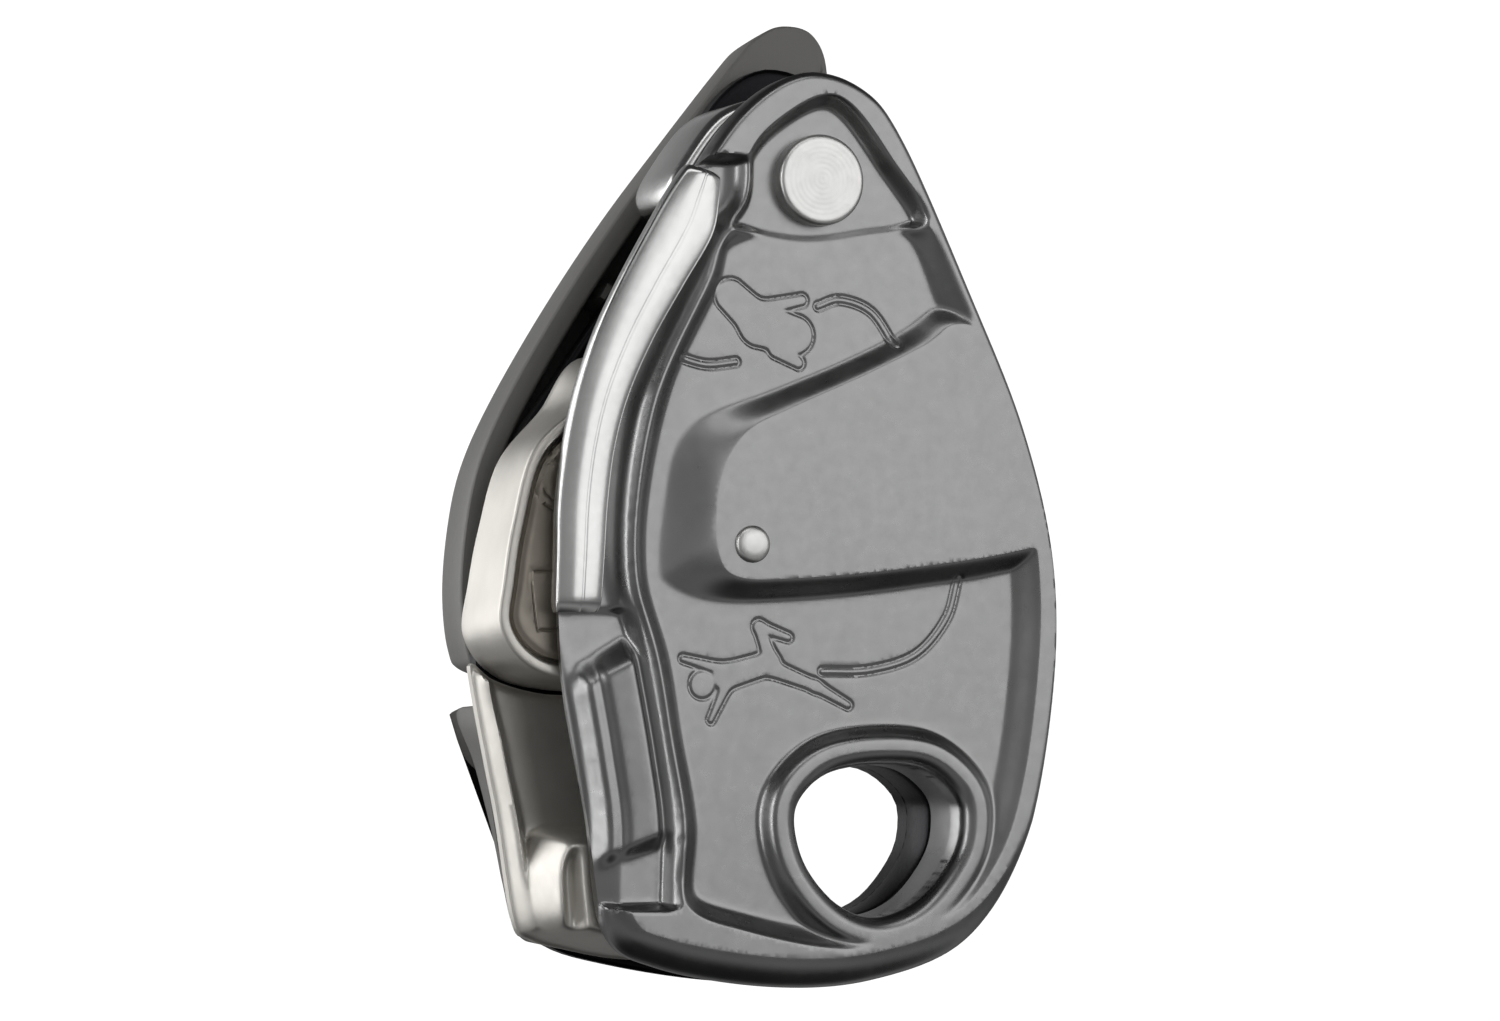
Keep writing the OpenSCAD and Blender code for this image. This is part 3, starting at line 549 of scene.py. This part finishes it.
SHOE_BACK, SHOE_RIM, FOOT_TOP = 5.6, 1.7, -5.0
shoe_y = SHOE_BACK - (SHOE_BACK - SHOE_RIM) * ramp(reach(shoe.points, flange), 1.0)
shoe_y = np.maximum(shoe_y, SHOE_RIM + 2.2 * ramp(reach(shoe.points, flange_floor) + 0.3, 1.3))
shoe_y = np.minimum(shoe_y, 4.6 + (FOOT_TOP - 4.6) * ramp(reach(shoe.points, bridge) + 0.3, 2.2))
in_groove = reach(shoe.points, groove) + 0.3
shoe_y = np.maximum(shoe_y, FOOT_TOP + 2.0 * ramp(in_groove, 1.2) - 20 * (in_groove < 0))
shoe_y = shoe.soften(shoe_y, 0.22)
friction = pressed("friction_shoe", [flange], lambda q: shoe.at(shoe_y, q), lambda q: np.full(len(q), 5.68),
                   step=0.45, detail=shoe.bends(shoe_y, 0.5), roll=(0.1, 0.25, 0.45, 0.7, 1.0))
placed(friction, cast_steel, "frame", "cast_steel", "friction_plate")
# Blackened steel: dark, a little glossy on its edges.
black_steel = material("blackened_steel", "#1b1b1d", 0.9, 0.28)
rivet_profile = [(0.02, 3.35), (1.9, 3.35), (2.0, 3.5), (2.2, 3.5), (2.3, 3.3), (2.45, 3.3), (2.5, 3.45),
                 (2.5, 8.2), (3.2, 8.22), (3.2, 8.5), (3.0, 8.62), (0.02, 8.64)]
rivets = [turned("rivet", at, rivet_profile, 48) for at in ((-27.4, 6.2), (-25.8, -5.7))]
placed(joined("shoe_rivets", *rivets), black_steel, "frame", "black_steel", "friction_rivets")

# Rear side plate. Aluminium sheet, 2.5 mm thick, with its own collar round the eye; its near-black colour
# is painted shade for the shadowed inside of the mouth. The axle, the pivot rivet and the friction plate
# are fixed to it.
rear_edge = closed([(-7, 85), (1, 82.5), (5, 75.8), (11.5, 60), (17.8, 45), (21, 30), (21, 15),
                    (17.7, -0.8), (11, -11), (0, -15.2), (-12, -15.4), (-25, -13.5), (-33, -11),
                    (-36.4, -6), (-38.6, 5), (-40.8, 18), (-40, 30), (-37, 41.5), (-30.6, 51.6),
                    (-23.6, 61.5), (-17.6, 71), (-13.5, 80.5)])


def on_arc(radius, degrees):
    """Points round the axle at the angles given, anticlockwise from +X."""
    return [(AXLE[0] + radius * math.cos(math.radians(a)), AXLE[1] + radius * math.sin(math.radians(a)))
            for a in degrees]


# The cam's drive pin moves in a slot bent round the axle.
window = np.array(on_arc(6.85, np.linspace(-84, -34, 26)) + on_arc(11.15, np.linspace(-34, -84, 26)))
sheet = pressed("rear_sheet", [rear_edge, eye, circle(AXLE, 4.02), circle(PIVOT, 3.02), window],
                lambda q: 5.7 + 0.35 * (1 - ramp(reach(q, rear_edge), 0.5)),
                lambda q: 8.2 - 0.45 * (1 - ramp(reach(q, rear_edge), 0.6)), step=1.6)
rear_collar_levels = ((0, 7.4), (0, 0.9), (0.2, 0.4), (0.7, 0.12), (1.4, 0.12), (1.8, 0.4), (2.1, 1),
                      (2.5, 1.6), (2.5, 7.8), (1.6, 8.55), (0.6, 8.55), (0.2, 8.1))
rear_collar = skin("rear_collar", [moved_in(eye, -d) for d, _ in rear_collar_levels],
                   [depth for _, depth in rear_collar_levels], round_trip=True)
# Near-black metal: painted shade for the rear plate's shadowed face inside the mouth; a dull metal that
# only shows light at a flat angle.
rear_alloy_painted_shade = material("rear_aluminium_painted_shade", "#202022", 1.0, 0.36)
placed(joined("rear_side_plate", sheet, rear_collar), rear_alloy_painted_shade, "frame", "dark_alloy",
       "fixed_side_plate")

# Handle. Moulded glass-filled nylon lever on the cam's axle: a thin shell with a rolled edge, stiffened
# inside by a hub and ribs, with a boss for the mode knob.
KNOB = (-16.5, 55.5)
grip = closed([(-3.6, 90.4), (0, 89.6), (1.8, 85.4), (1.2, 76), (-1, 64), (1.5, 52)]
              + on_arc(17.4, range(40, -121, -32))
              + [(-32, 16.6), (-39, 17.9), (-40.9, 20.6), (-41.6, 27), (-41, 34.4), (-39.5, 41),
                 (-36.2, 48.2), (-30.2, 58.3), (-23.2, 68.6), (-16, 77.9), (-9.6, 85.9), (-6.8, 88.9)], 8)
shell_levels = ((3.3, 17.6), (3.2, 17.2), (2.5, 9.6), (2.4, 9.0), (2.15, 8.75), (1.9, 8.7), (0.5, 8.7),
                (0.2, 8.78), (0.05, 9.0), (0, 9.3), (0.25, 12.5), (0.6, 16), (0.9, 17.2), (1.4, 18.3),
                (2.0, 19.0), (2.8, 19.55), (3.7, 19.88), (4.6, 20))
# The hollow side stops short of the thumb tab, which is solid.
POCKET_LEVELS = 6
to_tab = np.array([-0.42, 0.91])
shell_rings = []
for k, (d, _) in enumerate(shell_levels):
    ring = moved_in(grip, d)
    if k < POCKET_LEVELS:
        past = np.clip(ring @ to_tab - 76, 0, None)
        ring = ring - 0.93 * past[:, None] * to_tab
    shell_rings.append(ring)
shell = skin("grip_shell", shell_rings, [depth for _, depth in shell_levels])
hub = turned("hub", AXLE, [(12.3, 12.5), (12.3, 9.4), (12.6, 9.3), (14.9, 9.3), (15.2, 9.6), (15.2, 17.9),
                           (5.3, 17.9), (5.3, 12.5)])


def box_rib(x0, z0, x1, z1):
    outline = np.array([(x0, z0), (x0 + 0.9, z0 + 1.5), (x1 + 0.9, z1 + 1.5), (x1, z1)])
    return skin("rib", [outline, outline], [9.9, 17.9])


ribs = [box_rib(-34 + 9 * k, 47 + 12.5 * k, -24 + 9 * k, 40.4 + 12.5 * k) for k in range(1, 3)]
boss = turned("boss", KNOB, [(4.05, 16.6), (7.2, 16.6), (7.2, 17.9), (4.05, 17.9)])
# Glass-filled nylon from a sparked mould: mid grey, with a soft shine.
nylon = material("moulded_grey_nylon", "#767572", 0.0, 0.46, grain=0.1, bump=0.006, blotch=0.03)
placed(joined("handle_moulding", shell, hub, boss, *ribs), nylon, "handle", "moulded_nylon", "handle")

# Back cover. The same nylon, screwed to the rear plate just outside the handle's sweep.
HANDLE_SWEEP = 28.9
cover = closed(on_arc(HANDLE_SWEEP, (216, 223, 231, 240, 250))
               + [(-23, -2), (-26.6, -9.6), (-30.2, -11.6), (-32.8, -10), (-34.2, -5), (-35.3, 0),
                  (-37.2, 7), (-38.9, 12.4)])
near_tip = np.linalg.norm(cover - (-39, 14.4), axis=1)
cover_levels = ((0.6, 8.68), (0.15, 8.68), (0, 8.9), (0.2, 12.5), (0.4, 16.4), (0.8, 17.6), (1.4, 18.6),
                (2.0, 19.3), (2.8, 19.6))
cover_rings = [moved_in(cover, d * (0.35 + 0.65 * ramp(near_tip, 6)[:, None])) for d, _ in cover_levels]
moulding = skin("cover_moulding", cover_rings, [depth for _, depth in cover_levels])
placed(moulding, nylon, "frame", "moulded_nylon", "back_cover")

# Cover screws. Blackened steel, with low round heads and a socket, screwed into the rear plate.
screw_profile = [(0.02, 19.3), (0.8, 19.3), (0.85, 19.85), (1.3, 19.85), (1.45, 19.75), (1.5, 19.5),
                 (1.5, 18.8), (1.2, 18.6), (1.2, 7), (0.02, 7)]
screws = [turned("screw", at, screw_profile, 40) for at in ((-32.3, 5.2), (-29.9, -5.8))]
placed(joined("cover_screw_heads", *screws), black_steel, "frame", "black_steel", "cover_screws")

# Small parts that keep their CAD shape: axle, bushes, pins, springs and the mode knob. The springs are
# drawn wire, the pins are ground, the bushes are turned bronze and the knob is moulded black nylon.
spring_steel = material("drawn_spring_steel", "#a8aaad", 1.0, 0.3)
ground_steel = material("ground_steel", "#9b9b9c", 1.0, 0.32)
bronze = material("turned_bronze", "#a5854f", 1.0, 0.34)
black_nylon = material("moulded_black_nylon", "#2b2b2d", 0.0, 0.42)
for surface, names in (
        (spring_steel, ("pivot_washer", "axle_ring", "handle_return_spring", "cam_return_spring",
                        "pawl_spring", "knob_clip")),
        (ground_steel, ("cam_axle", "cam_drive_pin", "pawl_pin", "drive_pawl")),
        (bronze, ("cam_bushing", "handle_bushing")),
        (black_nylon, ("mode_knob",)),
        (polished, ("knob_ball",))):
    for name in names:
        coat(node[name], surface)

# Studio. The pale floor is seen only by the camera. A large soft box stands in front, with weaker ones
# above, to the left and behind.
FLOOR_HALF, FLOOR_Z = 8.0, -0.12
floor_mesh = bpy.data.meshes.new("floor")
corners = [(i * FLOOR_HALF, j * FLOOR_HALF, FLOOR_Z) for i, j in ((-1, -1), (1, -1), (1, 1), (-1, 1))]
floor_mesh.from_pydata(corners, [], [(0, 1, 2, 3)])
floor = bpy.data.objects.new("floor", floor_mesh)
bpy.context.scene.collection.objects.link(floor)
pale = bpy.data.materials.new("pale_paper")
pale.use_nodes = True
for socket, value in (("Base Color", (0.9, 0.9, 0.9, 1)), ("Roughness", 0.9),
                      ("Emission Color", (1, 1, 1, 1)), ("Emission Strength", 1.0)):
    pale.node_tree.nodes["Principled BSDF"].inputs[socket].default_value = value
floor.data.materials.append(pale)
floor.visible_glossy = False
floor.visible_diffuse = False


def light(name, where, size, power, aim=(-0.01, 0, 0.035)):
    """A soft box of the given size in metres and power in watts."""
    lamp = bpy.data.lights.new(name, "AREA")
    lamp.shape = "RECTANGLE"
    lamp.size, lamp.size_y = size
    lamp.energy = power
    holder = bpy.data.objects.new(name, lamp)
    holder.location = where
    holder.rotation_euler = (Vector(aim) - Vector(where)).to_track_quat("-Z", "Y").to_euler()
    bpy.context.scene.collection.objects.link(holder)


def at_angle(azimuth, elevation, distance=0.95):
    """A place round the device; azimuth 0 is straight in front and plus is to the right."""
    a, e = math.radians(azimuth), math.radians(elevation)
    flat = distance * math.cos(e)
    return (flat * math.sin(a), -flat * math.cos(a), distance * math.sin(e) + 0.035)


light("front_softbox", at_angle(27, 11), (0.95, 0.6), 1.85)
light("upper_softbox", at_angle(-8, 47), (0.8, 0.26), 1.0)
light("left_strip", at_angle(-66, 6), (0.16, 0.8), 1.6)
light("rear_left_softbox", at_angle(-130, 8), (0.8, 0.9), 5.0)

# The room that the metal mirrors is dark above and below, grey at eye height; the camera sees it white.
world = bpy.data.worlds.new("studio")
bpy.context.scene.world = world
world.use_nodes = True
tree = world.node_tree
seen = tree.nodes["Background"]
seen.inputs["Color"].default_value = (1, 1, 1, 1)
seen.inputs["Strength"].default_value = 1.1
direction = add(tree, "ShaderNodeTexCoord")
axis = add(tree, "ShaderNodeSeparateXYZ", [(0, direction.outputs["Generated"])])
height = add(tree, "ShaderNodeMapRange", [("Value", axis.outputs["Z"])])
height.inputs["From Min"].default_value = -1.0
fade = add(tree, "ShaderNodeValToRGB", [("Fac", height.outputs["Result"])])
stops = fade.color_ramp.elements
stops[0].color, stops[1].color = (0.02, 0.02, 0.02, 1), (0.03, 0.03, 0.03, 1)
for place, grey in ((0.1, 0.03), (0.2, 0.32), (0.33, 0.1), (0.5, 0.3), (0.66, 0.3), (0.8, 0.05)):
    stops.new(place).color = (grey, grey, grey, 1)
room = add(tree, "ShaderNodeBackground", [("Color", fade.outputs["Color"])], in_Strength=1.0)
rays = add(tree, "ShaderNodeLightPath")
both = add(tree, "ShaderNodeMixShader",
           [(0, rays.outputs["Is Camera Ray"]), (1, room.outputs[0]), (2, seen.outputs[0])])
tree.links.new(both.outputs[0], tree.nodes["World Output"].inputs["Surface"])
bpy.context.scene.view_settings.view_transform = "Standard"

# Camera at the height of the eye, a little left of square on.
AZIMUTH, ELEVATION, DISTANCE = math.radians(-23), math.radians(-3), 0.6
TARGET = Vector((-0.01039, 0.00236, 0.03596))
camera = bpy.data.objects.new("camera", bpy.data.cameras.new("camera"))
camera.data.sensor_width = 36
camera.data.lens = 131.904
level = math.cos(ELEVATION)
back = Vector((level * math.sin(AZIMUTH), -level * math.cos(AZIMUTH), math.sin(ELEVATION)))
camera.location = TARGET + back * DISTANCE
camera.rotation_euler = (-back).to_track_quat("-Z", "Y").to_euler()
camera.data.clip_start = 0.01
bpy.context.scene.collection.objects.link(camera)
bpy.context.scene.camera = camera
